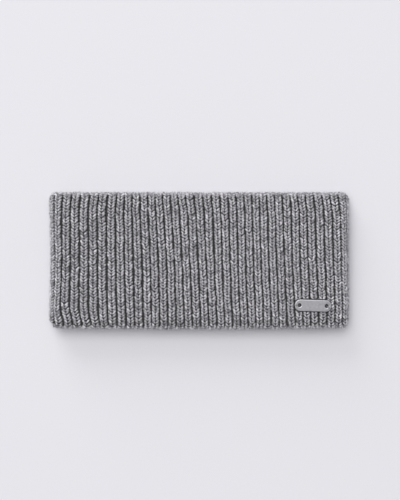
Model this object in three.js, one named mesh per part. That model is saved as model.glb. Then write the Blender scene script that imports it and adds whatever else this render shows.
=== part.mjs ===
// A ribbed knit ear warmer headband, lying flattened on a surface.
// The band is a closed ring of doubled 1x1 rib knit: its ply folds over at the upper and lower edge, and the
// head goes through the flat opening between its top and bottom layers. A slim metal plate is sewn to one corner.
// Millimetres. +X runs across the flattened band, +Y up its height, +Z away from the surface it lies on.
// The origin is the middle of the footprint, on that surface.
import * as THREE from "three";
import { ParametricGeometry } from "three/addons/geometries/ParametricGeometry.js";

// Band
const BAND_WIDTH = 235; // across the flattened ring, fold to fold
const BAND_HEIGHT = 107; // from the lower folded edge to the upper one
const WALL = 6; // two plies of rib knit, crest to crest
const LYING_HEIGHT = 17.4; // of the flattened ring at its side folds
const TOP_SAG = 0.6; // how far the middle of the top layer sinks below its sides
const SIDE_WAIST = 1.4; // how far the left fold draws in at mid height
const EDGE_BOW = 1.0; // how much shorter the band is at its sides than in the middle

// Ribs
const RIB_PITCH = 6.45; // from furrow to furrow, on the outside
const RIB_DEPTH = 1.7; // of a furrow on the outside
const INNER_RIB_DEPTH = 1.0; // of a furrow on the inside
const EDGE_RIB_DEPTH = 1.1; // of a furrow where the rib rolls over a folded edge
const CREST_SHARE = 0.6; // of the pitch that is the rib's flat crest

// Metal plate
const PLATE_LENGTH = 28.2;
const PLATE_WIDTH = 8.8;
const PLATE_THICKNESS = 1.2;
const PLATE_BEVEL = 0.3;
const PLATE_TILT = -1.8; // degrees, its right end lower
const PLATE_FROM_SIDE = 29.0; // its centre, in from the band's right fold
const PLATE_FROM_EDGE = 18.9; // its centre, up from the band's lower edge
const HOLE_DIAMETER = 2.9;
const HOLE_FROM_END = 3.6; // its centre, in from the end of the plate

// Sewing thread
const THREAD_DIAMETER = 0.75;
const THREAD_SIDES = 8;
const THREAD_STEPS = 20;
const SEAT_GAP = 0.3; // between pieces that rest on each other

// Corner radii of the outline seen from above, as shares of the band's height
const CORNERS = {
  left: { upper: 0.045, lower: 0.07 },
  right: { upper: 0.042, lower: 0.04 },
};

// Each thread's end of the plate, and the angle in degrees at which it leaves, turned from straight outward
const PLATE_THREADS = [
  { name: "plate_thread_left", side: -1, leaves: 0 },
  { name: "plate_thread_right", side: 1, leaves: -35 },
];

// How far each rib of the top layer drifts towards +X, as a share of the rib pitch. across is the place along
// the flattened width from the left fold, and the other columns are levels up the band's height.
const RIB_DRIFT = [
  { across: 0.0, lower: 0.5, low: 0.3, middle: 0.4, high: 0.35, upper: 0.5 },
  { across: 0.04, lower: 0.9, low: 0.3, middle: 0.5, high: 0.45, upper: 0.75 },
  { across: 0.12, lower: 1.15, low: 0.75, middle: 0.8, high: 0.7, upper: 0.95 },
  { across: 0.2, lower: 1.3, low: 1.15, middle: 1.05, high: 1.0, upper: 1.2 },
  { across: 0.29, lower: 1.4, low: 1.3, middle: 1.25, high: 0.95, upper: 0.95 },
  { across: 0.37, lower: 1.35, low: 1.3, middle: 1.15, high: 0.75, upper: 0.6 },
  { across: 0.45, lower: 1.3, low: 1.2, middle: 0.95, high: 0.6, upper: 0.35 },
  { across: 0.53, lower: 1.25, low: 1.15, middle: 0.9, high: 0.7, upper: 0.5 },
  { across: 0.62, lower: 1.05, low: 0.9, middle: 0.7, high: 0.6, upper: 0.5 },
  { across: 0.7, lower: 0.8, low: 0.75, middle: 0.5, high: 0.3, upper: 0.2 },
  { across: 0.78, lower: 0.7, low: 0.55, middle: 0.3, high: 0.15, upper: 0.0 },
  { across: 0.86, lower: 0.5, low: 0.45, middle: 0.15, high: 0.05, upper: -0.25 },
  { across: 0.95, lower: 0.35, low: 0.4, middle: 0.2, high: 0.05, upper: -0.35 },
  { across: 1.0, lower: 0.3, low: 0.3, middle: 0.15, high: 0.05, upper: -0.2 },
];
// Each level's place up the band, from -1 at the lower edge to 1 at the upper one
const DRIFT_LEVELS = [
  { name: "lower", at: -1 },
  { name: "low", at: -0.75 },
  { name: "middle", at: 0 },
  { name: "high", at: 0.8 },
  { name: "upper", at: 1 },
];

// Shares of the lying height between which the side folds take up the drift of the top layer
const DRIFT_BEGINS = 0.2;
const DRIFT_FULL = 0.8;

// Rows of the wall's section up its outer and inner face, from -1 at the lower fold to 1 at the upper one
const OUTER_ROWS = [-1, -0.86, -0.5, 0, 0.5, 0.84, 1];
const INNER_ROWS = [1, 0, -1];
const FOLD_TURNS = [0.25, 0.5, 0.75]; // of the half turn round a folded edge
const COLUMNS_PER_RIB = 3; // a furrow and the two sides of the crest

const HALF_WIDTH = BAND_WIDTH / 2;
const HALF_HEIGHT = BAND_HEIGHT / 2;
const FOLD_RADIUS = LYING_HEIGHT / 2;
const STRAIGHT = BAND_WIDTH - 2 * FOLD_RADIUS; // length of the flat stretch of each layer
const LOOP_LENGTH = 2 * STRAIGHT + 2 * Math.PI * FOLD_RADIUS;
const RIBS_PER_QUARTER = Math.round(LOOP_LENGTH / RIB_PITCH / 4); // so that both folds match
const RIB_COUNT = 4 * RIBS_PER_QUARTER;
const FITTED_PITCH = LOOP_LENGTH / RIB_COUNT;

const wool = new THREE.MeshStandardMaterial({ color: 0x85848a, roughness: 0.95, metalness: 0 });
const satinMetal = new THREE.MeshStandardMaterial({ color: 0xa9a8ac, roughness: 0.4, metalness: 1 });
const thread = new THREE.MeshStandardMaterial({ color: 0x77767c, roughness: 0.9, metalness: 0 });

// Point and outward normal of the ring's outer side at a distance along its loop, seen from the -Y end.
// The loop starts in the middle of the top layer and runs towards +X.
function loopAt(distance) {
  const s = ((distance % LOOP_LENGTH) + LOOP_LENGTH) % LOOP_LENGTH;
  const half = STRAIGHT / 2;
  const fold = Math.PI * FOLD_RADIUS;
  if (s < half) return { x: s, z: LYING_HEIGHT, nx: 0, nz: 1 };
  if (s < half + fold) return foldAt(half, (s - half) / FOLD_RADIUS);
  if (s < half + fold + STRAIGHT) return { x: half + fold + half - s, z: 0, nx: 0, nz: -1 };
  if (s < LOOP_LENGTH - half) return foldAt(-half, (s - fold - STRAIGHT - half) / FOLD_RADIUS + Math.PI);
  return { x: s - LOOP_LENGTH, z: LYING_HEIGHT, nx: 0, nz: 1 };
}

// A side fold, turned by an angle from straight up towards +X
function foldAt(centreX, angle) {
  const nx = Math.sin(angle);
  const nz = Math.cos(angle);
  return { x: centreX + FOLD_RADIUS * nx, z: FOLD_RADIUS + FOLD_RADIUS * nz, nx, nz };
}

// Value at a place in a list of { at, value }, in straight steps, and flat past its ends
function stepped(list, place) {
  const next = list.findIndex((entry) => entry.at > place);
  if (next === 0) return list[0].value;
  if (next < 0) return list[list.length - 1].value;
  const [a, b] = [list[next - 1], list[next]];
  return THREE.MathUtils.mapLinear(place, a.at, b.at, a.value, b.value);
}

function ribDrift(across, level) {
  const byLevel = DRIFT_LEVELS.map(({ name, at }) => ({
    at,
    value: stepped(
      RIB_DRIFT.map((row) => ({ at: row.across, value: row[name] })),
      across,
    ),
  }));
  return stepped(byLevel, level);
}

// How much a rounded corner takes off the band's half height, at a distance in from the side fold
function cornerDrop(inset, radius) {
  if (inset >= radius) return 0;
  return radius - Math.sqrt(radius ** 2 - (radius - inset) ** 2);
}

// Half height of the band above or below its middle, at a place across
function halfHeightAt(x, end) {
  const side = x < 0 ? "left" : "right";
  const inset = Math.max(HALF_WIDTH - Math.abs(x), 0);
  const bow = end === "lower" ? EDGE_BOW * (x / HALF_WIDTH) ** 2 : 0;
  return HALF_HEIGHT - bow - cornerDrop(inset, CORNERS[side][end] * BAND_HEIGHT);
}

// Share of the sag at a place across: 1 in the middle, 0 at the side folds
function sagShare(x) {
  return (1 - Math.min(Math.abs(x) / HALF_WIDTH, 1) ** 2) ** 2;
}

// The section of the wall, once round: outer face, upper fold, inner face, lower fold. Each point lies in
// direction (out, up) from the wall's middle line, at a row from -1 to 1, with the depth of its furrows.
const wallSection = [
  ...OUTER_ROWS.map((row) => ({ row, out: 1, up: 0, furrow: RIB_DEPTH })),
  ...FOLD_TURNS.map((turn) => foldPoint(1, turn)),
  ...INNER_ROWS.map((row) => ({ row, out: -1, up: 0, furrow: INNER_RIB_DEPTH })),
  ...FOLD_TURNS.map((turn) => foldPoint(-1, turn)),
];

function foldPoint(end, turn) {
  const angle = Math.PI * turn;
  return {
    row: end,
    out: end * Math.cos(angle),
    up: end * Math.sin(angle),
    furrow: EDGE_RIB_DEPTH,
  };
}

// Place of a column within its rib, as a share of the pitch: the furrow, then the crest's two sides
const COLUMN_PLACES = [0, (1 - CREST_SHARE) / 2, (1 + CREST_SHARE) / 2];

// A point of the band's surface, by column round the loop and by index in the wall's section
function bandPoint(column, index, target) {
  const place = Math.floor(column / COLUMNS_PER_RIB) + COLUMN_PLACES[column % COLUMNS_PER_RIB];
  const inFurrow = column % COLUMNS_PER_RIB === 0;
  const { row, out, up, furrow } = wallSection[index];
  const thickness = WALL / 2 - (inFurrow ? furrow : 0);

  const plain = loopAt(place * FITTED_PITCH);
  const onTop = THREE.MathUtils.smoothstep(plain.z / LYING_HEIGHT, DRIFT_BEGINS, DRIFT_FULL);
  const across = (plain.x + HALF_WIDTH) / BAND_WIDTH;
  const loop = loopAt((place + onTop * ribDrift(across, row)) * FITTED_PITCH);

  const end = row < 0 ? "lower" : "upper";
  const halfHeight = halfHeightAt(loop.x, end) - WALL / 2;
  const y = row * halfHeight + up * thickness;
  const inward = WALL / 2 - out * thickness;
  const sag = loop.nz > 0 ? TOP_SAG * sagShare(loop.x) : 0;
  const nearLeft = THREE.MathUtils.clamp(1 - (loop.x + HALF_WIDTH) / LYING_HEIGHT, 0, 1);
  const waist = SIDE_WAIST * nearLeft * (1 - (y / HALF_HEIGHT) ** 2);
  target.set(loop.x - inward * loop.nx + waist, y, loop.z - inward * loop.nz - sag);
}

function knitBand() {
  const columns = RIB_COUNT * COLUMNS_PER_RIB;
  const points = wallSection.length;
  const surface = (u, v, target) =>
    bandPoint(Math.round(u * columns) % columns, Math.round(v * points) % points, target);
  const ring = new ParametricGeometry(surface, columns, points);
  ring.computeVertexNormals();
  const mesh = new THREE.Mesh(ring, wool);
  mesh.name = "knit_band";
  return mesh;
}

// A bar with half-round ends, with a hole for the thread near each end
function metalPlate() {
  const endRadius = PLATE_WIDTH / 2;
  const endCentre = PLATE_LENGTH / 2 - endRadius;
  const outline = new THREE.Shape();
  outline.absarc(endCentre, 0, endRadius, -Math.PI / 2, Math.PI / 2);
  outline.absarc(-endCentre, 0, endRadius, Math.PI / 2, 1.5 * Math.PI);
  outline.closePath();
  for (const side of [-1, 1]) {
    const hole = new THREE.Path();
    hole.absarc(side * (PLATE_LENGTH / 2 - HOLE_FROM_END), 0, HOLE_DIAMETER / 2, 0, 2 * Math.PI, true);
    outline.holes.push(hole);
  }
  const bar = new THREE.ExtrudeGeometry(outline, {
    depth: PLATE_THICKNESS - 2 * PLATE_BEVEL,
    bevelThickness: PLATE_BEVEL,
    bevelSize: PLATE_BEVEL,
    bevelOffset: -PLATE_BEVEL,
    bevelSegments: 1,
    curveSegments: 10,
  });
  bar.translate(0, 0, PLATE_BEVEL);
  const mesh = new THREE.Mesh(bar, satinMetal);
  mesh.name = "metal_plate";
  return mesh;
}

// A thread that comes up through a hole, crosses the plate's rim and goes down beside it. It leaves the plate at
// its own angle from the plate's long side.
function plateThread({ name, side, leaves }) {
  const radius = THREAD_DIAMETER / 2;
  const away = new THREE.Vector2(side, 0).rotateAround(new THREE.Vector2(), THREE.MathUtils.degToRad(leaves));
  const hole = new THREE.Vector2(side * (PLATE_LENGTH / 2 - HOLE_FROM_END), 0);
  const fromCentre = new THREE.Vector2(side * (PLATE_WIDTH / 2 - HOLE_FROM_END), 0);
  const along = fromCentre.dot(away);
  const rim = Math.sqrt(along ** 2 - fromCentre.lengthSq() + (PLATE_WIDTH / 2) ** 2) - along;
  const outside = rim + SEAT_GAP + radius;
  const top = PLATE_THICKNESS + SEAT_GAP + radius;
  const shoulder = PLATE_THICKNESS / 2;
  const route = [
    [0, 0],
    [0, shoulder],
    [HOLE_DIAMETER / 2, top],
    [rim, top],
    [outside, shoulder],
    [outside, 0],
  ];
  const path = new THREE.CatmullRomCurve3(
    route.map(([out, z]) => new THREE.Vector3(hole.x + out * away.x, hole.y + out * away.y, z)),
    false,
    "centripetal",
  );
  const section = new THREE.Shape();
  section.absarc(0, 0, radius, 0, 2 * Math.PI);
  const arch = new THREE.ExtrudeGeometry(section, {
    extrudePath: path,
    steps: THREAD_STEPS,
    curveSegments: THREAD_SIDES / 2,
  });
  const mesh = new THREE.Mesh(arch, thread);
  mesh.name = name;
  return mesh;
}

// The plate with its two threads, resting on the crests of the ribs
function sewnPlate() {
  const group = new THREE.Group();
  group.add(metalPlate(), ...PLATE_THREADS.map(plateThread));
  const x = HALF_WIDTH - PLATE_FROM_SIDE;
  const highestCrest = LYING_HEIGHT - TOP_SAG * sagShare(x + PLATE_LENGTH / 2);
  group.position.set(x, PLATE_FROM_EDGE - HALF_HEIGHT, highestCrest + SEAT_GAP);
  group.rotation.z = THREE.MathUtils.degToRad(PLATE_TILT);
  return group;
}

const headband = new THREE.Group();
const band = knitBand();
headband.add(band, sewnPlate());

// The footprint's middle goes to the origin
const footprint = new THREE.Box3().setFromObject(band);
const middle = footprint.getCenter(new THREE.Vector3());
headband.position.set(-middle.x, -middle.y, -footprint.min.z);

export default headband;
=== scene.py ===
import math

import bpy
import numpy as np
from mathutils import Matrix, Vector


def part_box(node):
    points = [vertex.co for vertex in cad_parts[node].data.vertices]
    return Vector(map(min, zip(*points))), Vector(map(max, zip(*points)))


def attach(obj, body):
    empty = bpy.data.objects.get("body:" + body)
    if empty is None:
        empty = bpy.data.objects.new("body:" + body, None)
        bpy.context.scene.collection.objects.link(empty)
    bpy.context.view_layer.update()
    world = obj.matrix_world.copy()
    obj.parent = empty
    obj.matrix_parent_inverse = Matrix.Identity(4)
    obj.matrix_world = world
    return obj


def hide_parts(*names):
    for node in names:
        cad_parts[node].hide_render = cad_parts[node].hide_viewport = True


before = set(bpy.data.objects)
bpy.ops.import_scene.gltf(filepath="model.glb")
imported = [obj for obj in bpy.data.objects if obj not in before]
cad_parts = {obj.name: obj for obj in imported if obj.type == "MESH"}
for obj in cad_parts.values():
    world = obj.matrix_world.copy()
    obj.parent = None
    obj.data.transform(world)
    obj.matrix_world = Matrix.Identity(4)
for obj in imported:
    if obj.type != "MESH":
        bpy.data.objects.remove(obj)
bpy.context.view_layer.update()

# A ribbed knit ear warmer headband, lying flattened, with a metal plate sewn to one corner.
# Metres, in the frame of the model: +X across the band, +Y up its height, +Z up from the surface.
MM = 0.001

# Band
BAND_WIDTH = 235 * MM
BAND_HEIGHT = 107 * MM
WALL = 6 * MM
LYING_HEIGHT = 17.4 * MM
TOP_SAG = 0.6 * MM
SIDE_WAIST = 1.4 * MM
EDGE_BOW = 1.0 * MM
RIB_COUNT = 76

# Corner radii of the outline seen from above
CORNER_RADIUS = {
    ("left", "upper"): 0.045 * BAND_HEIGHT,
    ("left", "lower"): 0.07 * BAND_HEIGHT,
    ("right", "upper"): 0.042 * BAND_HEIGHT,
    ("right", "lower"): 0.04 * BAND_HEIGHT,
}

# How far the ribs of the top layer drift towards +X, in ribs. Each row is a place across the band, from
# 0 at the left fold to 1 at the right one. Each column is a level up the band, from -1 at its lower edge
# to 1 at its upper edge.
DRIFT_LEVELS = (-1.0, -0.75, 0.0, 0.8, 1.0)
DRIFT_ROWS = (
    (0.00, (0.50, 0.30, 0.40, 0.35, 0.50)),
    (0.04, (0.90, 0.30, 0.50, 0.45, 0.75)),
    (0.12, (1.15, 0.75, 0.80, 0.70, 0.95)),
    (0.20, (1.30, 1.15, 1.05, 1.00, 1.20)),
    (0.29, (1.40, 1.30, 1.25, 0.95, 0.95)),
    (0.37, (1.35, 1.30, 1.15, 0.75, 0.60)),
    (0.45, (1.30, 1.20, 0.95, 0.60, 0.35)),
    (0.53, (1.25, 1.15, 0.90, 0.70, 0.50)),
    (0.62, (1.05, 0.90, 0.70, 0.60, 0.50)),
    (0.70, (0.80, 0.75, 0.50, 0.30, 0.20)),
    (0.78, (0.70, 0.55, 0.30, 0.15, 0.00)),
    (0.86, (0.50, 0.45, 0.15, 0.05, -0.25)),
    (0.95, (0.35, 0.40, 0.20, 0.05, -0.35)),
    (1.00, (0.30, 0.30, 0.15, 0.05, -0.20)),
)
DRIFT_RISE = (0.2, 0.8)  # where it begins and is full on the side folds, as shares of the lying height
DRIFT_EASE = 0.12  # levels on each side of a point over which the table is averaged
DRIFT_EASE_STEPS = 5

# Stitches
ROWS_ON_FACE = 44
ROWS_ON_FOLD = 4
STITCH_SEED = 11

# Metal plate
PLATE_LENGTH = 28.2 * MM
PLATE_WIDTH = 8.8 * MM
PLATE_THICKNESS = 1.2 * MM
PLATE_ROUNDING = 0.55 * MM
PLATE_TILT = math.radians(-1.8)
HOLE_DIAMETER = 2.9 * MM
HOLE_FROM_END = 3.6 * MM

# Sewing threads: for each, the end of the plate that it holds, and the angle in degrees from straight
# outward at which it leaves
THREADS = {"plate_thread_left": (-1, 0), "plate_thread_right": (1, -35)}
THREAD_DIAMETER = 0.75 * MM

# Lengths worked out from the above
HALF_WIDTH = BAND_WIDTH / 2
HALF_HEIGHT = BAND_HEIGHT / 2
HALF_WALL = WALL / 2
FOLD_RADIUS = LYING_HEIGHT / 2
STRAIGHT = BAND_WIDTH - 2 * FOLD_RADIUS
SIDE_FOLD = math.pi * FOLD_RADIUS
LOOP = 2 * STRAIGHT + 2 * SIDE_FOLD
RIB_PITCH = LOOP / RIB_COUNT
FACE = BAND_HEIGHT - WALL
EDGE_FOLD = math.pi * HALF_WALL
SECTION = 2 * FACE + 2 * EDGE_FOLD
ROW_PITCH = FACE / ROWS_ON_FACE


def smoothstep(value, low, high):
    t = np.clip((value - low) / (high - low), 0, 1)
    return t * t * (3 - 2 * t)


def unit(vectors):
    return vectors / np.linalg.norm(vectors, axis=-1, keepdims=True)


# The band's form

def loop_point(distance):
    """Place and outward direction of the outer side, at a distance round from the middle of the top."""
    s = np.mod(distance, LOOP)
    half = STRAIGHT / 2
    past_right = s - half - SIDE_FOLD
    past_left = past_right - STRAIGHT - SIDE_FOLD
    angle = np.clip((s - half) / FOLD_RADIUS, 0, math.pi)
    angle = angle + np.clip((past_right - STRAIGHT) / FOLD_RADIUS, 0, math.pi)
    x = np.clip(s, 0, half) - np.clip(past_right, 0, STRAIGHT) + np.clip(past_left, 0, half)
    nx, nz = np.sin(angle), np.cos(angle)
    return x + FOLD_RADIUS * nx, FOLD_RADIUS + FOLD_RADIUS * nz, nx, nz


def rib_drift(across, level):
    """Drift in ribs at a place across the band and a level up it."""
    places = [place for place, _ in DRIFT_ROWS]
    columns = [np.interp(across, places, column) for column in zip(*(row for _, row in DRIFT_ROWS))]
    spans = list(zip(DRIFT_LEVELS, DRIFT_LEVELS[1:], columns, columns[1:]))
    drift = np.zeros(np.shape(across))
    for offset in np.linspace(-DRIFT_EASE, DRIFT_EASE, DRIFT_EASE_STEPS):
        at = np.clip(level + offset, -1, 1)
        for low, high, low_drift, high_drift in spans:
            inside = (at >= low) & ((at < high) | (high == DRIFT_LEVELS[-1]))
            share = (at - low) / (high - low)
            drift = drift + inside * (low_drift * (1 - share) + high_drift * share)
    return drift / DRIFT_EASE_STEPS


def half_height(x, row):
    """Half height of the band above or below its middle, at a place across."""
    left, lower = x < 0, row < 0
    inset = np.maximum(HALF_WIDTH - np.abs(x), 0)
    upper_radius = np.where(left, CORNER_RADIUS["left", "upper"], CORNER_RADIUS["right", "upper"])
    lower_radius = np.where(left, CORNER_RADIUS["left", "lower"], CORNER_RADIUS["right", "lower"])
    radius = np.where(lower, lower_radius, upper_radius)
    short = np.maximum(radius - inset, 0)
    drop = np.where(short > 0, radius - np.sqrt(radius**2 - short**2), 0)
    bow = np.where(lower, EDGE_BOW * (x / HALF_WIDTH) ** 2, 0)
    return HALF_HEIGHT - bow - drop


def band_points(place, along, height):
    """Points of the band, at a place in ribs round the loop, a distance along the wall's section from the
    lower end of its outer face, and a height over the crests of the ribs."""
    place, along, height = np.broadcast_arrays(place, np.mod(along, SECTION), height)
    turn = np.clip((along - FACE) / HALF_WALL, 0, math.pi)
    turn = turn + np.clip((along - 2 * FACE - EDGE_FOLD) / HALF_WALL, 0, math.pi)
    climb = np.clip(along, 0, FACE) - np.clip(along - FACE - EDGE_FOLD, 0, FACE)
    row = 2 * climb / FACE - 1
    thickness = HALF_WALL + height

    plain_x, plain_z, _, _ = loop_point(place * RIB_PITCH)
    on_top = smoothstep(plain_z / LYING_HEIGHT, *DRIFT_RISE)
    drift = on_top * rib_drift((plain_x + HALF_WIDTH) / BAND_WIDTH, row)
    x, z, nx, nz = loop_point((place + drift) * RIB_PITCH)

    y = row * (half_height(x, row) - HALF_WALL) + np.sin(turn) * thickness
    inward = HALF_WALL - np.cos(turn) * thickness
    share = (1 - np.minimum(np.abs(x) / HALF_WIDTH, 1) ** 2) ** 2
    sag = np.where(nz > 0, TOP_SAG * share, 0)
    near_left = np.clip(1 - (x + HALF_WIDTH) / LYING_HEIGHT, 0, 1)
    waist = SIDE_WAIST * near_left * (1 - (y / HALF_HEIGHT) ** 2)
    return np.stack([x - inward * nx + waist, y, z - inward * nz - sag], axis=-1)


PROBE = 0.2 * MM  # from a point to the one over it that gives its outward direction


def band_line(place, along, height):
    """Points of the band, and the outward direction at each."""
    points = band_points(place, along, height)
    return points, band_points(place, along, height + PROBE) - points


FOOTPRINT_STEP = 0.1  # in ribs, between the points that measure the band
FOOTPRINT_LEVELS = 200


def footprint_shift():
    """How far the band moves along X, so that it lies where its CAD node does."""
    place = np.arange(0, RIB_COUNT, FOOTPRINT_STEP)[:, None]
    along = np.linspace(0, SECTION, FOOTPRINT_LEVELS)[None, :]
    x = band_points(place, along, 0.0)[..., 0]
    low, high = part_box("knit_band")
    return (low[0] + high[0]) / 2 - (x.min() + x.max()) / 2


SHIFT = np.array([footprint_shift(), 0, 0])


# What presses on the knit, and the plate's painted shadow on it

plate_low, plate_high = (np.array(corner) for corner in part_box("metal_plate"))
PLATE_CENTRE = (plate_low + plate_high) / 2
PLATE_BOTTOM = plate_low[2]
PLATE_COS = math.cos(PLATE_TILT)
PLATE_SIN = math.sin(PLATE_TILT)
PLATE_RELIEF = 0.05 * MM  # between the knit and the plate on it
PLATE_SLOPE = 0.45  # of the dent round the plate
PLATE_DENT = 0.7 * MM  # deepest under the plate's edge
PLATE_DENT_WIDTH = 0.8 * MM
PLATE_SHADE = 2.5 * MM  # painted shadow: by which the wool under it counts as deeper, so its colour darkens
PLATE_SHADE_ENDS = (-1.2 * MM, 0.2 * MM)  # of the painted shadow, from its outline inwards
KNIT_CLEARANCE = 0.02 * MM  # least height of the knit over the surface it lies on


def from_plate(points):
    """Distance of points from the plate's outline seen from above, negative inside it."""
    x, y = points[..., 0] - PLATE_CENTRE[0], points[..., 1] - PLATE_CENTRE[1]
    along = x * PLATE_COS + y * PLATE_SIN
    across = y * PLATE_COS - x * PLATE_SIN
    past_end = np.maximum(np.abs(along) - (PLATE_LENGTH - PLATE_WIDTH) / 2, 0)
    return np.hypot(past_end, across) - PLATE_WIDTH / 2


def pressed(points):
    """The points, held down by the plate and up by the surface."""
    off = from_plate(points)
    dent = PLATE_DENT * np.exp(-(off / PLATE_DENT_WIDTH) ** 2)
    ceiling = PLATE_BOTTOM - PLATE_RELIEF - dent + PLATE_SLOPE * np.maximum(off, 0)
    z = np.clip(points[..., 2], KNIT_CLEARANCE, ceiling)
    return np.concatenate([points[..., :2], z[..., None]], axis=-1)


def under_plate(points):
    """Depth that the plate adds to points near or under it, on the face that carries it: a painted
    shadow.
    """
    on_its_face = points[..., 2] > PLATE_BOTTOM - HALF_WALL
    return PLATE_SHADE * on_its_face * smoothstep(-from_plate(points), *PLATE_SHADE_ENDS)


# The folds of the upper and lower edge. Distances are along the section.

EDGE_BEYOND = 1.5 * MM  # of the fold, as far as its stitches are looser
EDGE_REACH = (EDGE_FOLD / 4, EDGE_FOLD / 2 + EDGE_BEYOND)  # from its middle to full and to no looseness
EDGE_SPREAD = 0.30  # how much wider the legs of the stitches reach there
EDGE_LIFT = 0.35  # and how much of their outer ends' depth they lose
UPPER_PAINTED_LIGHT = 1.4 * MM  # painted light: by which the upper fold counts as less deep, so its colour lightens
LOWER_PAINTED_SHADE = 0.5 * MM  # painted shade: by which the face counts as deeper where it bends to the lower fold, so its colour darkens
LOWER_BEND = 6.0 * MM  # from the lower fold's middle to the middle of that bend
LOWER_BEND_REACH = (LOWER_BEND / 4, LOWER_BEND * 3 / 4)  # from there to its full and to no effect


def on_edges(along):
    """How near places along the section are to the edges' folds, from 0 to 1, and the painted light and
    shade there, as a change of depth.
    """
    off_upper = np.abs(along - FACE - EDGE_FOLD / 2)
    off_lower = np.minimum(np.abs(along + EDGE_FOLD / 2), np.abs(along - SECTION + EDGE_FOLD / 2))
    upper = 1 - smoothstep(off_upper, *EDGE_REACH)
    lower = 1 - smoothstep(off_lower, *EDGE_REACH)
    bend = 1 - smoothstep(np.abs(off_lower - LOWER_BEND), *LOWER_BEND_REACH)
    return upper + lower, UPPER_PAINTED_LIGHT * upper - LOWER_PAINTED_SHADE * bend


SIDE_PAINTED_LIGHT = 0.5 * MM  # painted light: by which a side fold counts as less deep, so its colour lightens
SIDE_FULL = 0.8  # sideways part of the outward direction at which that is full


def on_sides(place):
    """Painted light at a place in ribs round the loop, as a change of depth, full on the side folds."""
    _, _, nx, _ = loop_point(place * RIB_PITCH)
    return SIDE_PAINTED_LIGHT * smoothstep(np.abs(nx), 0, SIDE_FULL)


# Meshes

def new_mesh(name, points, faces, maps, attributes=None):
    """A smooth mesh object. Maps hold places for the faces' corners, attributes values for the points."""
    points = points.reshape(-1, 3)
    mesh = bpy.data.meshes.new(name)
    corners = np.concatenate([group.ravel() for group in faces])
    totals = np.concatenate([np.full(len(group), group.shape[1]) for group in faces])
    starts = np.concatenate([[0], np.cumsum(totals)[:-1]])
    mesh.vertices.add(len(points))
    mesh.vertices.foreach_set("co", np.ascontiguousarray(points, dtype=np.float32).ravel())
    mesh.loops.add(len(corners))
    mesh.loops.foreach_set("vertex_index", corners.astype(np.int32))
    mesh.polygons.add(len(totals))
    mesh.polygons.foreach_set("loop_start", starts.astype(np.int32))
    mesh.polygons.foreach_set("use_smooth", np.ones(len(totals), dtype=bool))
    mesh.update(calc_edges=True)
    mesh.validate()
    for label, places in maps.items():
        layer = mesh.uv_layers.new(name=label)
        flat = np.concatenate([group.reshape(-1, 2) for group in places])
        layer.uv.foreach_set("vector", flat.astype(np.float32).ravel())
    for label, values in (attributes or {}).items():
        data = mesh.attributes.new(label, "FLOAT", "POINT").data
        data.foreach_set("value", np.ascontiguousarray(values, dtype=np.float32).ravel())
    piece = bpy.data.objects.new(name, mesh)
    bpy.context.scene.collection.objects.link(piece)
    return piece


# Strands: closed tubes along rows of points

# A strand's cell in its piece's map, as shares of the cell
CELL_MARGIN = 0.08
CELL_CAPS = 0.2  # height of the strip that holds the strand's two ends
CAP_RADIUS = 0.4 * CELL_CAPS
CAP_MIDDLES = (0.3, 0.7)  # across that strip


def even_section(sides):
    """Angles of the points of a strand's section, the same distance apart."""
    return 2 * math.pi * np.arange(sides) / sides


def outer_section(sides):
    """Angles of the points of a section, all but one of them on the outer half, which shows."""
    return np.append(np.linspace(0, math.pi, sides - 1), 1.5 * math.pi)


def strand_faces(count, steps, sides):
    """The four-cornered faces along strands, and the faces that close their ends."""
    index = np.arange(count * steps * sides).reshape(count, steps, sides)
    turned = np.roll(index, -1, axis=2)
    sleeve = np.stack([index[:, :-1], turned[:, :-1], turned[:, 1:], index[:, 1:]], axis=-1)
    caps = np.concatenate([index[:, 0, ::-1], index[:, -1]])
    return [sleeve.reshape(-1, 4), caps]


def strand_maps(centre, angle):
    """Two maps of strands' faces: a cell to each strand, and round the yarn with mm along it."""
    count, steps = centre.shape[:2]
    turn = np.append(angle, angle[0] + 2 * math.pi) / (2 * math.pi)
    round_it = np.stack([turn[:-1], turn[1:], turn[1:], turn[:-1]], axis=-1)
    along_it = (np.arange(steps - 1)[:, None] + np.array([0, 0, 1, 1])) / (steps - 1)
    u, v = np.broadcast_arrays(round_it[None, :, :], along_it[:, None, :])

    cells = math.ceil(math.sqrt(count))
    cell = np.stack([np.arange(count) % cells, np.arange(count) // cells], axis=-1)
    u_in_cell = CELL_MARGIN + (1 - 2 * CELL_MARGIN) * u
    v_in_cell = CELL_CAPS + (1 - CELL_CAPS - CELL_MARGIN) * v
    sleeve_map = (cell[:, None, None, None, :] + np.stack([u_in_cell, v_in_cell], axis=-1)) / cells
    disc = CAP_RADIUS * np.stack([np.cos(angle), np.sin(angle)], axis=-1)
    low_cap, high_cap = (cell[:, None, :] + disc + np.array([at, CELL_CAPS / 2]) for at in CAP_MIDDLES)
    caps_map = np.concatenate([low_cap[:, ::-1], high_cap]) / cells

    lengths = np.linalg.norm(np.diff(centre, axis=1), axis=-1)
    gone = np.cumsum(np.concatenate([np.zeros((count, 1)), lengths], axis=1), axis=1) / MM
    near, far = gone[:, :-1], gone[:, 1:]
    corner_gone = np.stack([near, near, far, far], axis=-1)[:, :, None, :]
    yarn_map = np.stack(np.broadcast_arrays(u[None], corner_gone), axis=-1)
    no_yarn = np.zeros((2 * count * len(angle), 2))
    return {"OFBake": [sleeve_map, caps_map], "yarn": [yarn_map, no_yarn]}


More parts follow.
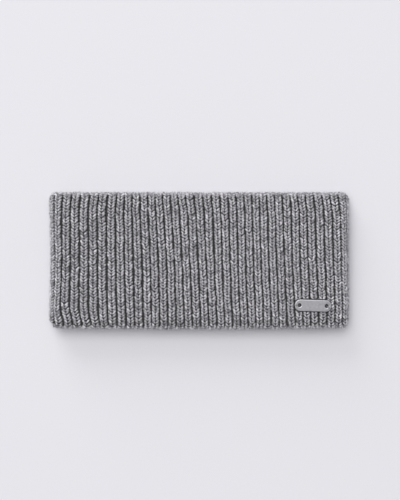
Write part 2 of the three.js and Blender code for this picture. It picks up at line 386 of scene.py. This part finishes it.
def strands(centre, outward, radius, angle, flatness=1.0):
    """Points, faces and maps of strands along rows of points. A section's quarter turn is outward."""
    forward = unit(np.gradient(centre, axis=1))
    across = unit(np.cross(forward, outward))
    out = np.cross(across, forward)
    beside = np.cos(angle)[:, None] * across[:, :, None]
    over = flatness * np.sin(angle)[:, None] * out[:, :, None]
    points = centre[:, :, None] + radius[..., None, None] * (beside + over)
    return points, strand_faces(*points.shape[:3]), strand_maps(centre, angle)


# The ply that carries the stitches

CORE_STEPS = 6  # across each rib
CORE_FACE_STEPS = 24
CORE_FOLD_STEPS = 6

# Heights over the crests of the ribs
CORE_CREST = -1.75 * MM
CORE_FURROW = -2.8 * MM
CORE_FURROW_FOLD = -1.9 * MM
CORE_FURROW_INNER = -2.2 * MM


def knit_core():
    """The closed ring under the stitches, with its ribs and furrows."""
    columns = RIB_COUNT * CORE_STEPS
    place = np.arange(columns) / CORE_STEPS
    face = np.linspace(0, FACE, CORE_FACE_STEPS, endpoint=False)
    fold = np.linspace(0, EDGE_FOLD, CORE_FOLD_STEPS, endpoint=False)
    along = np.concatenate([face, FACE + fold, FACE + EDGE_FOLD + face, 2 * FACE + EDGE_FOLD + fold])
    furrow = np.interp(along, *zip(
        (0, CORE_FURROW),
        (FACE, CORE_FURROW),
        (FACE + EDGE_FOLD / 2, CORE_FURROW_FOLD),
        (FACE + EDGE_FOLD, CORE_FURROW_INNER),
        (SECTION - EDGE_FOLD, CORE_FURROW_INNER),
        (SECTION - EDGE_FOLD / 2, CORE_FURROW_FOLD),
        (SECTION, CORE_FURROW),
    ))
    in_furrow = (0.5 + 0.5 * np.cos(2 * math.pi * place)) ** 2
    height = CORE_CREST + in_furrow[None, :] * (furrow[:, None] - CORE_CREST)
    points = pressed(band_points(place[None, :], along[:, None], height) + SHIFT)

    rows = len(along)
    row, column = (a.ravel() for a in np.meshgrid(np.arange(rows), np.arange(columns), indexing="ij"))
    faces = []
    places = []
    for up, right in ((0, 0), (0, 1), (1, 1), (1, 0)):
        faces.append((row + up) % rows * columns + (column + right) % columns)
        places.append(np.stack([(column + right) / columns, (row + up) / rows], axis=-1))
    maps = {"OFBake": [np.stack(places, axis=1)]}
    _, edge_light_and_shade = on_edges(along)
    # depth under the crests, which sets the painted shade, with the painted light and shade of the folds
    # added
    depth = (height + edge_light_and_shade[:, None] + on_sides(place)[None, :]) / MM
    attributes = {"depth": depth, "tone": np.zeros(depth.shape)}
    return new_mesh("knit_ply", points, [np.stack(faces, axis=-1)], maps, attributes)


# Stitches: each is a V of two legs, from its foot in the middle of the rib up to its outer edge

# Rings along a leg: out from the rib's middle, up in rows, height over the crests, radius
LEG_RINGS = (
    (0.20 * MM, -0.14, -1.45 * MM, 0.38 * MM),
    (0.50 * MM, -0.04, -0.88 * MM, 0.54 * MM),
    (1.02 * MM, 0.17, -0.64 * MM, 0.69 * MM),
    (1.54 * MM, 0.42, -0.60 * MM, 0.75 * MM),
    (1.94 * MM, 0.64, -0.90 * MM, 0.72 * MM),
    (2.20 * MM, 0.82, -1.62 * MM, 0.61 * MM),
    (2.30 * MM, 0.95, -2.60 * MM, 0.46 * MM),
)
INNER_LEG_RINGS = (
    (0.40 * MM, -0.20, -1.60 * MM, 0.60 * MM),
    (1.50 * MM, 0.45, -0.62 * MM, 0.90 * MM),
    (2.30 * MM, 1.00, -1.60 * MM, 0.60 * MM),
)
LEG_SIDES = {"top": 7, "under": 5}
INNER_LEG_SIDES = 4
LEG_FLATNESS = 0.85
HALF_LEG = 1.15 * MM  # from a rib's middle to the middle of a leg

# How uneven single legs and whole stitches are, as standard deviations
LEG_REACH_VARIES = 0.06  # of how far it goes out
LEG_LENGTH_VARIES = 0.08  # of how far it goes up
LEG_ROW_VARIES = 0.04  # in rows
LEG_HEIGHT_VARIES = 0.07 * MM
LEG_RADIUS_VARIES = 0.06  # of its radius
STITCH_OUT_VARIES = 0.10 * MM
STITCH_ROW_VARIES = 0.04  # in rows
STITCH_HEIGHT_VARIES = 0.11 * MM

RIB_WANDER = 0.16 * MM  # sideways, as the ribs go up
WANDER_WEIGHTS = np.array((1, 2, 3, 2, 1))  # of a row and its neighbours
WANDER_EASE = WANDER_WEIGHTS / np.linalg.norm(WANDER_WEIGHTS)


def legs(name, ribs, rows, rings, sides, seed):
    """A piece of the legs of the stitches on some ribs and rows."""
    rng = np.random.default_rng(seed)
    rib, row, side = np.meshgrid(ribs, rows, (-1, 1), indexing="ij")
    rib, row, side = (a.reshape(-1, 1).astype(float) for a in (rib, row, side))
    count = len(rib)
    out, up, height, radius = (np.array(column)[None, :] for column in zip(*rings))
    by_stitch = np.repeat(rng.normal(size=(count // 2, 3)), 2, axis=0)
    by_leg = rng.normal(size=(count, 6))
    loose = rng.normal(size=(len(ribs), len(rows) + len(WANDER_EASE) - 1))
    stitch_out, stitch_row, stitch_height = by_stitch.T[..., None]
    leg_reach, leg_length, leg_row, leg_height, leg_radius, tone = by_leg.T[..., None]
    wander = np.stack([np.convolve(line, WANDER_EASE, mode="valid") for line in loose])
    wander = RIB_WANDER * np.repeat(wander.ravel(), 2)[:, None]

    out = side * out * (1 + LEG_REACH_VARIES * leg_reach) + STITCH_OUT_VARIES * stitch_out + wander
    up = row + up * (1 + LEG_LENGTH_VARIES * leg_length)
    up = up + STITCH_ROW_VARIES * stitch_row + LEG_ROW_VARIES * leg_row
    along = up * ROW_PITCH
    spread, edge_light_and_shade = on_edges(along)
    outer_end = np.clip(np.abs(out) / HALF_LEG - 1, 0, 1)
    height = height * (1 - EDGE_LIFT * spread * outer_end)
    height = height + STITCH_HEIGHT_VARIES * stitch_height + LEG_HEIGHT_VARIES * leg_height
    radius = radius * (1 + LEG_RADIUS_VARIES * leg_radius)
    place = rib + 0.5 + out * (1 + EDGE_SPREAD * spread) / RIB_PITCH

    centre, outward = band_line(place, along, height)
    section = outer_section(sides)
    points, faces, maps = strands(centre, outward, radius, section, LEG_FLATNESS)
    points = points + SHIFT
    rise = LEG_FLATNESS * radius[..., None] * np.sin(section)
    # depth under the crests, which sets the painted shade, with painted light and shade at the folds and
    # a painted shadow under the plate
    depth = (height + edge_light_and_shade + on_sides(place))[..., None] + rise - under_plate(points)
    attributes = {"depth": depth / MM, "tone": np.broadcast_to(tone[..., None], points.shape[:3])}
    return new_mesh(name, pressed(points), faces, maps, attributes)


def stitch_pieces():
    """The stitches of the outer face, by layer and half of the band, and those of the inner face."""
    quarter = RIB_COUNT // 4
    layers = {"top": np.arange(-quarter, quarter), "under": np.arange(quarter, 3 * quarter)}
    first, middle, last = -ROWS_ON_FOLD, ROWS_ON_FACE // 2, ROWS_ON_FACE + ROWS_ON_FOLD
    halves = {"lower": np.arange(first, middle), "upper": np.arange(middle, last)}
    pieces = []
    for layer, ribs in layers.items():
        for half, rows in halves.items():
            name = f"stitches_{layer}_{half}"
            seed = STITCH_SEED + len(pieces)
            pieces.append(legs(name, ribs, rows, LEG_RINGS, LEG_SIDES[layer], seed))
    rows = np.arange(last, last + ROWS_ON_FACE)
    seed = STITCH_SEED + len(pieces)
    inner = legs("stitches_inside", np.arange(RIB_COUNT), rows, INNER_LEG_RINGS, INNER_LEG_SIDES, seed)
    return [*pieces, inner]


# Loose fibres, most of them where the folds of the band stand against what is behind them

FUZZ_SEED = 5
FUZZ_ON_EDGES = 5400
FUZZ_ON_SIDES = 2400
FUZZ_ON_FACES = 1600
FUZZ_EDGE_SPREAD = 0.28  # standard deviation from an edge fold's middle, of the fold
FUZZ_SIDE_SPREAD = 0.25  # the same for the side folds
FUZZ_ACROSS = 2.2 * MM  # farthest from a rib's middle
FUZZ_ROOT = -0.7 * MM  # height over the crests
FUZZ_LIFT = (0.5 * MM, 1.9 * MM)
FUZZ_REACH = (0.3 * MM, 2.4 * MM)
FUZZ_BEND = 0.5 * MM
FUZZ_RADIUS = 0.035 * MM
FUZZ_TAPER = 0.6  # of the radius, lost on the way to the tip
FUZZ_RINGS = np.array([[0, 0.5, 1.0]])  # of the way to the tip
FUZZ_SIDES = 3
FUZZ_CLEAR = 0.2 * MM  # from the plate and from the surface below


def fuzz_roots(rng):
    """Places round the loop, in ribs, and along the section, where the fibres leave the yarn."""
    edge_middles = rng.choice((-EDGE_FOLD / 2, FACE + EDGE_FOLD / 2), FUZZ_ON_EDGES)
    side_middles = rng.choice((1, -1), FUZZ_ON_SIDES) * (STRAIGHT + SIDE_FOLD) / 2
    distance = np.concatenate([
        rng.uniform(0, LOOP, FUZZ_ON_EDGES),
        side_middles + SIDE_FOLD * rng.normal(0, FUZZ_SIDE_SPREAD, FUZZ_ON_SIDES),
        rng.uniform(0, LOOP, FUZZ_ON_FACES),
    ])
    along = np.concatenate([
        edge_middles + EDGE_FOLD * rng.normal(0, FUZZ_EDGE_SPREAD, FUZZ_ON_EDGES),
        rng.uniform(0, FACE, FUZZ_ON_SIDES + FUZZ_ON_FACES),
    ])
    across = rng.uniform(-FUZZ_ACROSS, FUZZ_ACROSS, len(along))
    return np.floor(distance / RIB_PITCH) + 0.5 + across / RIB_PITCH, along


def wool_fuzz():
    """The fine fibres that stand out of the yarn."""
    rng = np.random.default_rng(FUZZ_SEED)
    place, along = fuzz_roots(rng)
    count = len(along)
    heading = rng.uniform(0, 2 * math.pi, count)
    reach = rng.uniform(*FUZZ_REACH, count)
    lift = rng.uniform(*FUZZ_LIFT, count)
    bend = FUZZ_BEND * rng.normal(size=count)

    forward = reach[:, None] * FUZZ_RINGS
    sideways = bend[:, None] * np.sin(math.pi * FUZZ_RINGS)
    turn_cos, turn_sin = np.cos(heading)[:, None], np.sin(heading)[:, None]
    place = place[:, None] + (forward * turn_cos - sideways * turn_sin) / RIB_PITCH
    along = along[:, None] + forward * turn_sin + sideways * turn_cos
    height = FUZZ_ROOT + lift[:, None] * np.sin(0.5 * math.pi * FUZZ_RINGS)
    centre, outward = band_line(place, along, height)
    centre = centre + SHIFT
    clear = (centre[..., 2].min(axis=1) > FUZZ_CLEAR) & (from_plate(centre).min(axis=1) > FUZZ_CLEAR)
    centre, outward = centre[clear], outward[clear]
    radius = FUZZ_RADIUS * np.broadcast_to(1 - FUZZ_TAPER * FUZZ_RINGS, centre.shape[:2])
    points, faces, maps = strands(centre, outward, radius, even_section(FUZZ_SIDES))
    tone = np.broadcast_to(rng.normal(size=(len(centre), 1, 1)), points.shape[:3])
    attributes = {"depth": np.zeros(points.shape[:3]), "tone": tone}
    return new_mesh("wool_fuzz", points, faces, maps, attributes)


# Metal plate

PLATE_RIM = (0.0, 0.05)  # where its lighter rim, partly worn and partly a painted highlight, begins and is full, as shares of half its thickness
PLATE_END_POINTS = 33
PLATE_HOLE_POINTS = 40
PLATE_BEVEL_STEPS = 4
PLATE_SHARP = math.radians(40)


def plate_loops():
    """The outline of the plate and of its two holes, about its middle."""
    end_radius = PLATE_WIDTH / 2
    end_centre = PLATE_LENGTH / 2 - end_radius
    turn = np.linspace(-math.pi / 2, math.pi / 2, PLATE_END_POINTS)
    right = np.stack([end_centre + end_radius * np.cos(turn), end_radius * np.sin(turn)], axis=-1)
    circle = np.linspace(0, 2 * math.pi, PLATE_HOLE_POINTS, endpoint=False)
    ring = HOLE_DIAMETER / 2 * np.stack([np.cos(circle), np.sin(circle)], axis=-1)
    hole_centre = np.array([PLATE_LENGTH / 2 - HOLE_FROM_END, 0])
    return [np.concatenate([right, -right]), ring - hole_centre, ring + hole_centre]


def plate_mesh():
    """The plate's mesh about its middle, filled, thickened and rounded from its outlines."""
    outline = bpy.data.curves.new("metal_plate_outline", "CURVE")
    outline.dimensions = "2D"
    outline.fill_mode = "BOTH"
    outline.extrude = PLATE_THICKNESS / 2 - PLATE_ROUNDING
    outline.bevel_depth = PLATE_ROUNDING
    outline.bevel_resolution = PLATE_BEVEL_STEPS
    outline.offset = -PLATE_ROUNDING
    for loop in plate_loops():
        spline = outline.splines.new("POLY")
        spline.points.add(len(loop) - 1)
        spline.points.foreach_set("co", np.pad(loop, ((0, 0), (0, 2))).ravel())
        spline.use_cyclic_u = True
    shape = bpy.data.objects.new("metal_plate_shape", outline)
    mesh = bpy.data.meshes.new_from_object(shape)
    bpy.data.objects.remove(shape)
    bpy.data.curves.remove(outline)
    mesh.name = "metal_plate_satin"
    return mesh


def metal_plate():
    """The bar with its half-round ends, rounded edges and two holes."""
    mesh = plate_mesh()
    flat = np.empty(3 * len(mesh.vertices))
    mesh.vertices.foreach_get("co", flat)
    flat = flat.reshape(-1, 3)
    x = PLATE_CENTRE[0] + flat[:, 0] * PLATE_COS - flat[:, 1] * PLATE_SIN
    y = PLATE_CENTRE[1] + flat[:, 0] * PLATE_SIN + flat[:, 1] * PLATE_COS
    z = PLATE_BOTTOM + PLATE_THICKNESS / 2 + flat[:, 2]
    mesh.vertices.foreach_set("co", np.stack([x, y, z], axis=-1).ravel())
    mesh.polygons.foreach_set("use_smooth", np.ones(len(mesh.polygons), dtype=bool))
    mesh.set_sharp_from_angle(angle=PLATE_SHARP)
    # the rim mask: a lighter colour on the rounded edges, partly wear and partly a painted highlight
    from_face = 1 - np.abs(flat[:, 2]) / (PLATE_THICKNESS / 2)
    rim = mesh.attributes.new("rim", "FLOAT", "POINT").data
    rim.foreach_set("value", smoothstep(from_face, *PLATE_RIM).astype(np.float32))
    piece = bpy.data.objects.new("metal_plate_satin", mesh)
    bpy.context.scene.collection.objects.link(piece)
    return piece


# Sewing threads

STRAND_RADIUS = 0.2 * MM
STRAND_SIDES = 8
STRAND_TWIST = 1.7 * MM  # length of one turn
STRAND_LEAN = 0.5  # sideways, of the direction from which its section is counted
THREAD_LIFT = 0.06 * MM  # over the plate
THREAD_ROOT = -1.4 * MM  # height of its ends in the knit, from the plate's underside
THREAD_STEPS = 60
CORNER_CUT = 0.25  # of the stretch on each side of a corner
CORNER_ROUNDS = 3


def eased(route):
    """The route with its corners cut, round after round."""
    for _ in range(CORNER_ROUNDS):
        near, far = route[:-1], route[1:]
        after = (1 - CORNER_CUT) * near + CORNER_CUT * far
        before = CORNER_CUT * near + (1 - CORNER_CUT) * far
        cut = np.stack([after, before], axis=1).reshape(-1, 3)
        route = np.concatenate([route[:1], cut, route[-1:]])
    return route


def thread_route(side, leaves):
    """The route up through the hole, over the plate's end and down beside it, and the way it leaves."""
    end_turn = PLATE_TILT + (math.pi if side < 0 else 0)
    away_turn = end_turn + math.radians(leaves)
    end = np.array([math.cos(end_turn), math.sin(end_turn), 0])
    away = np.array([math.cos(away_turn), math.sin(away_turn), 0])
    base = np.array([PLATE_CENTRE[0], PLATE_CENTRE[1], PLATE_BOTTOM])
    hole = base + (PLATE_LENGTH / 2 - HOLE_FROM_END) * end

    # From the hole to the outline of the plate, which is a circle there
    from_centre = (PLATE_WIDTH / 2 - HOLE_FROM_END) * end
    along = from_centre @ away
    rim = math.sqrt(along**2 - from_centre @ from_centre + (PLATE_WIDTH / 2) ** 2) - along

    clear = THREAD_LIFT + 2 * STRAND_RADIUS
    top = PLATE_THICKNESS + clear
    edge = HOLE_DIAMETER / 2 - THREAD_DIAMETER / 2
    route = np.array([
        (0, THREAD_ROOT),
        (0, 0),
        (edge, top),
        (rim, top),
        (rim + clear, top),
        (rim + clear, THREAD_ROOT),
    ])
    return eased(hole + route[:, :1] * away + route[:, 1:] * np.array([0, 0, 1])), away


def plate_thread(name, side, leaves):
    """A twisted pair of strands that holds an end of the plate."""
    route, away = thread_route(side, leaves)
    gone = np.concatenate([[0], np.cumsum(np.linalg.norm(np.diff(route, axis=0), axis=1))])
    at = np.linspace(0, gone[-1], THREAD_STEPS)
    line = np.stack([np.interp(at, gone, places) for places in route.T], axis=-1)
    forward = unit(np.gradient(line, axis=0))
    beside = unit(np.cross(away, [0, 0, 1]))[None, :]
    over = np.cross(beside, forward)
    phase = 2 * math.pi * at[:, None] / STRAND_TWIST
    pair = (phase, phase + math.pi)
    centre = np.stack([line + STRAND_RADIUS * (np.cos(a) * beside + np.sin(a) * over) for a in pair])
    outward = np.broadcast_to(over + STRAND_LEAN * beside, centre.shape)
    radius = np.full(centre.shape[:2], STRAND_RADIUS)
    points, faces, maps = strands(centre, outward, radius, even_section(STRAND_SIDES))
    return new_mesh(f"{name}_twisted", points, faces, maps)


core = knit_core()
stitches = stitch_pieces()
fuzz = wool_fuzz()
plate = metal_plate()
threads = {name: plate_thread(name, *end) for name, end in THREADS.items()}


# Materials

class Tree:
    """The nodes of a new material or world. Their inputs are numbers, colours or other nodes' outputs."""

    def __init__(self, owner, shader):
        owner.use_nodes = True
        self.owner = owner
        self.nodes = owner.node_tree.nodes
        self.links = owner.node_tree.links
        self.shader = self.nodes[shader]

    def join(self, node, inputs):
        """Gives a node its inputs, by name or number."""
        for label, value in inputs.items():
            if isinstance(value, bpy.types.NodeSocket):
                self.links.new(value, node.inputs[label])
            else:
                node.inputs[label].default_value = value

    def add(self, kind, settings=None, **inputs):
        """A new node with its settings and inputs."""
        node = self.nodes.new(f"ShaderNode{kind}")
        for label, value in (settings or {}).items():
            setattr(node, label, value)
        self.join(node, inputs)
        return node

    def maths(self, operation, *values):
        """The result of a sum."""
        node = self.add("Math", {"operation": operation})
        self.join(node, dict(enumerate(values)))
        return node.outputs["Value"]

    def noise(self, place, settings):
        return self.add("TexNoise", Vector=place, **settings).outputs["Fac"]

    def attribute(self, name):
        return self.add("Attribute", {"attribute_name": name}).outputs["Fac"]

    def ranged(self, value, limits):
        return self.add("MapRange", Value=value, **limits).outputs["Result"]

    def ramp(self, value, positions, colours):
        """The colour for a value, between the first colour and the last."""
        node = self.add("ValToRGB", Fac=value)
        for end, position, colour in zip(node.color_ramp.elements, positions, colours):
            end.position = position
            end.color = colour
        return node.outputs["Color"]

    def mixed(self, blend, share, base, other):
        """Two colours mixed."""
        settings = {"data_type": "RGBA", "blend_type": blend}
        return self.add("Mix", settings, Factor=share, A=base, B=other).outputs["Result"]

    def shade(self, inputs):
        """Gives the shader its inputs."""
        self.join(self.shader, inputs)


def material_tree(name):
    return Tree(bpy.data.materials.new(name), "Principled BSDF")


# Marled wool: the fibres are a noise drawn out along the yarn's turning plies, the marl one in space
WOOL_COLOURS = ((0.17, 0.165, 0.185, 1), (0.84, 0.83, 0.87, 1))
WOOL_RAMP = (0.395, 0.65)
WOOL_ROUGHNESS = 0.9
WOOL_SHEEN = 0.35
YARN_PLIES = 2
YARN_TURN = 3.2  # length in mm in which the plies turn once
FIBRE_ROUND = 2.4  # lengths of the fibres' noise in one turn of a ply
FIBRE_ALONG = 0.4  # and in one mm of the yarn
FIBRE_APART = 10  # and between strands that differ by one in tone
FIBRE_NOISE = {"Scale": 1.6, "Detail": 5.0, "Roughness": 0.65}
MARL_NOISE = {"Scale": 1300.0, "Detail": 6.0, "Roughness": 0.7}

# What each adds to how light a place is
FIBRE_LIGHT = 1.2
MARL_LIGHT = 0.5
TONE_LIGHT = 0.03
BASE_LIGHT = -0.35

# The yarn's relief, and the painted shade: how its colour darkens with the depth under the crests in mm
GROOVE_RELIEF = 0.5
WOOL_BUMP = {"Strength": 0.4, "Distance": 0.16 * MM}
WOOL_SHADE = {"From Min": -1.9, "From Max": -0.2, "To Min": 0.10, "To Max": 1.0}


def wool_material():
    """Marled wool: light and dark fibres along a twisted yarn, with painted shade that darkens it deep
    between the stitches.
    """
    tree = material_tree("marl_wool")
    tone = tree.attribute("tone")
    yarn = tree.add("SeparateXYZ", Vector=tree.add("UVMap", {"uv_map": "yarn"}).outputs["UV"])
    round_it, along_it = yarn.outputs["X"], yarn.outputs["Y"]
    plies = tree.maths("MULTIPLY", round_it, YARN_PLIES)
    turns = tree.maths("MULTIPLY_ADD", along_it, 1 / YARN_TURN, plies)
    streak = tree.add(
        "CombineXYZ",
        X=tree.maths("MULTIPLY", turns, FIBRE_ROUND),
        Y=tree.maths("MULTIPLY", along_it, FIBRE_ALONG),
        Z=tree.maths("MULTIPLY", tone, FIBRE_APART),
    )
    fibre = tree.noise(streak.outputs["Vector"], FIBRE_NOISE)
    marl = tree.noise(tree.add("TexCoord").outputs["Object"], MARL_NOISE)
    lightness = tree.maths("MULTIPLY_ADD", marl, MARL_LIGHT, BASE_LIGHT)
    lightness = tree.maths("MULTIPLY_ADD", fibre, FIBRE_LIGHT, lightness)
    lightness = tree.maths("MULTIPLY_ADD", tone, TONE_LIGHT, lightness)
    colour = tree.ramp(lightness, WOOL_RAMP, WOOL_COLOURS)
    # painted shade: the colour darkens with the depth under the crests, as in the recesses between
    # stitches
    depth_shade = tree.ranged(tree.attribute("depth"), WOOL_SHADE)
    groove = tree.maths("SINE", tree.maths("MULTIPLY", turns, 2 * math.pi))
    relief = tree.maths("MULTIPLY_ADD", groove, GROOVE_RELIEF, fibre)
    tree.shade({
        "Base Color": tree.mixed("MULTIPLY", 1.0, colour, depth_shade),
        "Roughness": WOOL_ROUGHNESS,
        "Sheen Weight": WOOL_SHEEN,
        "Normal": tree.add("Bump", Height=relief, **WOOL_BUMP).outputs["Normal"],
    })
    return tree.owner


THREAD_COLOURS = ((0.10, 0.10, 0.11, 1), (0.34, 0.34, 0.36, 1))
THREAD_RAMP = (0.3, 0.7)
THREAD_NOISE = {"Scale": 4000.0, "Detail": 4.0}
THREAD_ROUGHNESS = 0.75
THREAD_SHEEN = 0.2


def thread_material():
    """Grey sewing thread, flecked."""
    tree = material_tree("grey_thread")
    fibre = tree.noise(tree.add("TexCoord").outputs["Object"], THREAD_NOISE)
    tree.shade({
        "Base Color": tree.ramp(fibre, THREAD_RAMP, THREAD_COLOURS),
        "Roughness": THREAD_ROUGHNESS,
        "Sheen Weight": THREAD_SHEEN,
    })
    return tree.owner


STEEL_COLOURS = ((0.25, 0.25, 0.265, 1), (0.34, 0.34, 0.355, 1))
# colour of the rim: partly wear, partly a painted highlight
STEEL_RIM_WEAR_AND_HIGHLIGHT = (0.70, 0.70, 0.72, 1)
STEEL_RAMP = (0.3, 0.7)
STEEL_CLOUDS = {"Scale": 500.0, "Detail": 5.0}
STEEL_ROUGHNESS = {"From Min": 0.3, "From Max": 0.7, "To Min": 0.46, "To Max": 0.56}
STEEL_GRAIN = {"Scale": 6000.0, "Detail": 3.0}
STEEL_BUMP = {"Strength": 0.25, "Distance": 0.02 * MM}


def satin_material():
    """Satin metal, finely grained, with a slightly mottled gloss and a lighter rim, partly wear and
    partly a painted highlight.
    """
    tree = material_tree("satin_steel")
    place = tree.add("TexCoord").outputs["Object"]
    cloud = tree.noise(place, STEEL_CLOUDS)
    face = tree.ramp(cloud, STEEL_RAMP, STEEL_COLOURS)
    grain = tree.noise(place, STEEL_GRAIN)
    tree.shade({
        "Base Color": tree.mixed("MIX", tree.attribute("rim"), face, STEEL_RIM_WEAR_AND_HIGHLIGHT),
        "Metallic": 1.0,
        "Roughness": tree.ranged(cloud, STEEL_ROUGHNESS),
        "Normal": tree.add("Bump", Height=grain, **STEEL_BUMP).outputs["Normal"],
    })
    return tree.owner


wool = wool_material()
for piece in [core, *stitches, fuzz]:
    piece.data.materials.append(wool)
    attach(piece, "root")
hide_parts("knit_band")

plate.data.materials.append(satin_material())
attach(plate, "root")
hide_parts("metal_plate")

thread_look = thread_material()
for name, piece in threads.items():
    piece.data.materials.append(thread_look)
    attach(piece, "root")
    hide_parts(name)


# Floor, light and camera

FLOOR_SIZE = 12
FLOOR_COLOUR = (0.79, 0.785, 0.82, 1)
FLOOR_ROUGHNESS = 0.9
FLOOR_GLOSS = 0.1


def floor_plane():
    bpy.ops.mesh.primitive_plane_add(size=FLOOR_SIZE, location=(0, 0, 0))
    floor = bpy.context.object
    floor.name = "floor"
    tree = material_tree("pale_floor")
    tree.shade({
        "Base Color": FLOOR_COLOUR,
        "Roughness": FLOOR_ROUGHNESS,
        "Specular IOR Level": FLOOR_GLOSS,
    })
    floor.data.materials.append(tree.owner)
    return floor


# Square lights turned to the band: place and side in metres, and power in watts
LIGHTS = {
    "key": {"place": (-1.2, 2.0, 7.6), "side": 6.8, "power": 462},
    "fill": {"place": (-2.8, 5.8, 2.2), "side": 4.0, "power": 225},
}


def area_light(name, place, side, power):
    data = bpy.data.lights.new(name, "AREA")
    data.shape = "SQUARE"
    data.size = side
    data.energy = power
    light = bpy.data.objects.new(name, data)
    light.location = place
    light.rotation_euler = (-Vector(place)).to_track_quat("-Z", "Y").to_euler()
    bpy.context.scene.collection.objects.link(light)


WORLD_COLOUR = (0.97, 0.97, 1.0, 1)
WALL_LIGHT = 0.74  # of the pale walls at the floor's level
CEILING_LIGHT = 0.28
WALL_TOP = 0.45  # height of the walls' upper end, as the sine of its angle over the floor


def studio_world():
    """Soft light from all round: pale walls that darken towards the ceiling."""
    tree = Tree(bpy.data.worlds.new("studio"), "Background")
    way = tree.add("SeparateXYZ", Vector=tree.add("TexCoord").outputs["Generated"])
    limits = {"From Min": 0.0, "From Max": WALL_TOP, "To Min": WALL_LIGHT, "To Max": CEILING_LIGHT}
    tree.shade({"Color": WORLD_COLOUR, "Strength": tree.ranged(way.outputs["Z"], limits)})
    return tree.owner


PHOTO_HEIGHT = 500  # pixels, the longer side of the picture
PHOTO_SCALE = 0.778 * MM  # of a pixel at the view's level
CAMERA_LENS = 85
CAMERA_SENSOR = 36
CAMERA_HEIGHT = PHOTO_HEIGHT * PHOTO_SCALE * CAMERA_LENS / CAMERA_SENSOR
CAMERA_RANGE = 10
VIEW_CENTRE = (0.9 * MM, 8.35 * MM)
VIEW_LEVEL = 12 * MM


def add_camera():
    """The camera, looking straight down."""
    data = bpy.data.cameras.new("camera")
    data.lens = CAMERA_LENS
    data.sensor_width = CAMERA_SENSOR
    data.clip_end = CAMERA_RANGE
    camera = bpy.data.objects.new("camera", data)
    camera.location = (*VIEW_CENTRE, VIEW_LEVEL + CAMERA_HEIGHT)
    bpy.context.scene.collection.objects.link(camera)
    bpy.context.scene.camera = camera


floor_plane()
for name, light in LIGHTS.items():
    area_light(name, **light)
bpy.context.scene.world = studio_world()
bpy.context.scene.view_settings.view_transform = "Standard"
add_camera()
